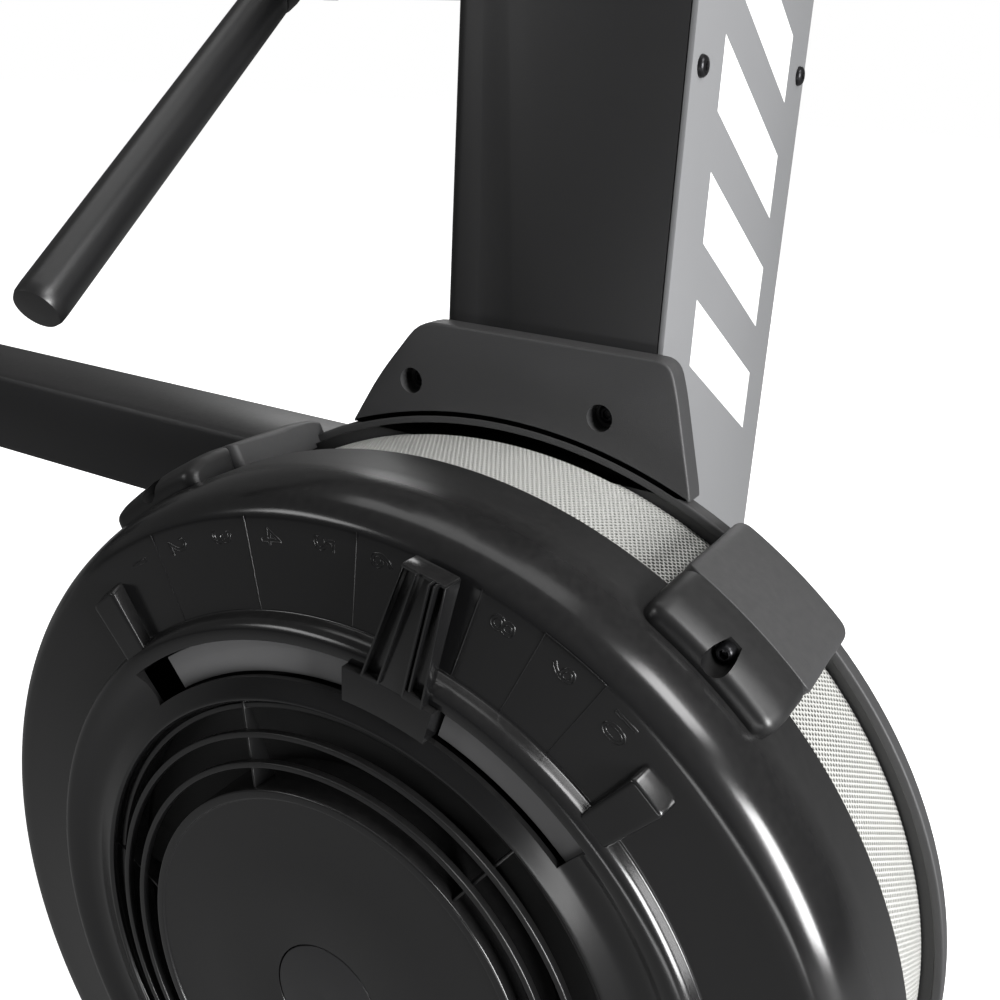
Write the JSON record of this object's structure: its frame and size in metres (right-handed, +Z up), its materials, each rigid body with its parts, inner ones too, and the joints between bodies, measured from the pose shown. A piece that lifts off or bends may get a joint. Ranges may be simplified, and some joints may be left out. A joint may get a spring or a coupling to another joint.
{
  "type": "rowing machine",
  "caption": "Air-resistance rowing machine: a box column with a side fan and damper lever, a pull handle on a chain, foot rests, and a seat rolling on a long rail.",
  "frame": {"origin": "on the floor, under the middle of the machine's box", "axes": "+X from the seat towards the fan, +Y to the rower's left, +Z up"},
  "size_m": [2.4256, 0.563, 1.1845],
  "materials": {
    "black_plastic": "fine moulded texture, satin",
    "gloss_plastic": "polished black moulding",
    "black_steel": "black powder coat",
    "plate_paint": "dark grey powder coat with plain white stripes",
    "bright_steel": "ground steel",
    "mesh_steel": "perforated sheet",
    "rubber": "matt rubber",
    "rail_aluminium": "grey anodised extrusion",
    "chain_steel": "oiled nickel-plated roller chain",
    "cord": "braided elastic cord",
    "seat_foam": "moulded seat, fine texture",
    "roller": "white nylon",
    "webbing": "woven polyester webbing",
    "screen": "display window",
    "button": "soft-touch keys"
  },
  "bodies": {
    "frame": {"column_shell": "black_steel", "front_plate": "plate_paint", "column_cap": "black_plastic", "arm_bolt": "bright_steel", "base_beam": "black_steel", "front_foot": "black_steel", "rear_leg": "black_steel", "front_pad": "rubber", "rear_pad": "rubber", "wheel_axle": "bright_steel", "front_beam": "black_steel", "seat_rail": "rail_aluminium", "rail_track": "bright_steel", "rail_end_cap": "black_plastic", "front_cover": "gloss_plastic", "mesh_band": "mesh_steel", "back_cover": "black_plastic", "column_bracket": "black_plastic", "intake_grille": "gloss_plastic", "hub_cap": "gloss_plastic", "shaft_bearing_fan_side": "bright_steel", "shaft_bearing_far_side": "bright_steel", "idler_bracket": "black_steel", "pulley_axle": "bright_steel", "drive_chain": "chain_steel", "return_cord": "cord", "chain_boom": "black_steel", "boom_bumper": "rubber", "footplate_right": "black_plastic", "footplate_left": "black_plastic", "foot_crossbar": "black_steel", "foot_strap_right": "webbing", "foot_strap_left": "webbing"},
    "rotor": {"fan_wheel": "black_plastic", "flywheel_disc": "bright_steel", "fan_shaft": "bright_steel"},
    "damper": {"damper_ring": "black_plastic", "damper_lever": "gloss_plastic"},
    "sprocket": {"drive_sprocket": "bright_steel"},
    "upper_idler": {"upper_idler": "black_plastic"},
    "lower_idler": {"lower_idler": "black_plastic"},
    "cord_pulley": {"cord_pulley": "black_plastic"},
    "chain_end": {"chain_run": "chain_steel"},
    "handle": {"handle_bar": "black_steel", "handle_grip_right": "rubber", "handle_grip_left": "rubber", "handle_yoke": "black_plastic"},
    "heel_right": {"heel_cup_right": "rubber"},
    "heel_left": {"heel_cup_left": "rubber"},
    "seat": {"seat_carriage": "black_steel", "seat_pad": "seat_foam"},
    "rollers_front": {"seat_rollers_front": "roller"},
    "rollers_rear": {"seat_rollers_rear": "roller"},
    "arm": {"monitor_arm": "black_steel"},
    "monitor": {"monitor_case": "black_plastic", "monitor_screen": "screen"},
    "button_right": {"monitor_button_right": "button"},
    "button_left": {"monitor_button_left": "button"},
    "wheel_right": {"transport_wheel_right": "rubber"},
    "wheel_left": {"transport_wheel_left": "rubber"}
  },
  "joints": [
    {"name": "fan_spin", "type": "hinge", "parent": "frame", "child": "rotor", "pos_m": [0.945, 0, 0.29], "axis": [0, 1, 0], "continuous": true},
    {"name": "damper_turn", "type": "hinge", "parent": "frame", "child": "damper", "pos_m": [0.945, -0.1665, 0.29], "axis": [0, 1, 0], "range_deg": [-42, 23]},
    {"name": "handle_pull", "type": "slide", "parent": "frame", "child": "chain_end", "axis": [-1, 0, 0], "range_m": [0, 1.4], "stiffness_N_per_m": 15, "springref_m": -0.4},
    {"name": "handle_roll", "type": "hinge", "parent": "chain_end", "child": "handle", "pos_m": [0.719, 0, 0.771], "axis": [1, 0, 0], "range_deg": [-80, 10]},
    {"name": "sprocket_turn", "type": "hinge", "parent": "frame", "child": "sprocket", "pos_m": [0.945, 0, 0.29], "axis": [0, 1, 0], "continuous": true},
    {"name": "upper_idler_turn", "type": "hinge", "parent": "frame", "child": "upper_idler", "pos_m": [0.945, 0, 0.741], "axis": [0, 1, 0], "continuous": true},
    {"name": "lower_idler_turn", "type": "hinge", "parent": "frame", "child": "lower_idler", "pos_m": [0.915, 0, 0.455], "axis": [0, 1, 0], "continuous": true},
    {"name": "cord_pulley_turn", "type": "hinge", "parent": "frame", "child": "cord_pulley", "pos_m": [-1.12, 0, 0.452], "axis": [0, 1, 0], "continuous": true},
    {"name": "seat_slide", "type": "slide", "parent": "frame", "child": "seat", "axis": [-1, 0, 0], "range_m": [-0.17, 0.78]},
    {"name": "roller_front_turn", "type": "hinge", "parent": "seat", "child": "rollers_front", "pos_m": [-0.19, 0, 0.4986], "axis": [0, 1, 0], "continuous": true},
    {"name": "roller_rear_turn", "type": "hinge", "parent": "seat", "child": "rollers_rear", "pos_m": [-0.31, 0, 0.4986], "axis": [0, 1, 0], "continuous": true},
    {"name": "heel_right_slide", "type": "slide", "parent": "frame", "child": "heel_right", "axis": [0.6585, 0, 0.7526], "range_m": [-0.02, 0.03]},
    {"name": "heel_left_slide", "type": "slide", "parent": "frame", "child": "heel_left", "axis": [0.6585, 0, 0.7526], "range_m": [-0.02, 0.03]},
    {"name": "arm_swing", "type": "hinge", "parent": "frame", "child": "arm", "pos_m": [0.96, 0, 1.094], "axis": [0, 1, 0], "range_deg": [-8, 60]},
    {"name": "monitor_tilt", "type": "hinge", "parent": "arm", "child": "monitor", "pos_m": [0.7, 0, 1.116], "axis": [0, 1, 0], "range_deg": [-40, 40]},
    {"name": "button_right_press", "type": "slide", "parent": "monitor", "child": "button_right", "axis": [1, 0, 0], "range_m": [0, 0.002], "stiffness_N_per_m": 500},
    {"name": "button_left_press", "type": "slide", "parent": "monitor", "child": "button_left", "axis": [1, 0, 0], "range_m": [0, 0.002], "stiffness_N_per_m": 500},
    {"name": "wheel_right_turn", "type": "hinge", "parent": "frame", "child": "wheel_right", "pos_m": [1.1205, -0.272, 0.036], "axis": [0, 1, 0], "continuous": true},
    {"name": "wheel_left_turn", "type": "hinge", "parent": "frame", "child": "wheel_left", "pos_m": [1.1205, 0.272, 0.036], "axis": [0, 1, 0], "continuous": true}
  ],
  "couplings": [
    {"joint": "sprocket_turn", "follows": "handle_pull", "rad_per_m": -33.333},
    {"joint": "upper_idler_turn", "follows": "handle_pull", "rad_per_m": -33.333},
    {"joint": "lower_idler_turn", "follows": "handle_pull", "rad_per_m": 83.333},
    {"joint": "cord_pulley_turn", "follows": "handle_pull", "rad_per_m": 66.667},
    {"joint": "roller_front_turn", "follows": "seat_slide", "rad_per_m": -55.556},
    {"joint": "roller_rear_turn", "follows": "seat_slide", "rad_per_m": -55.556}
  ]
}
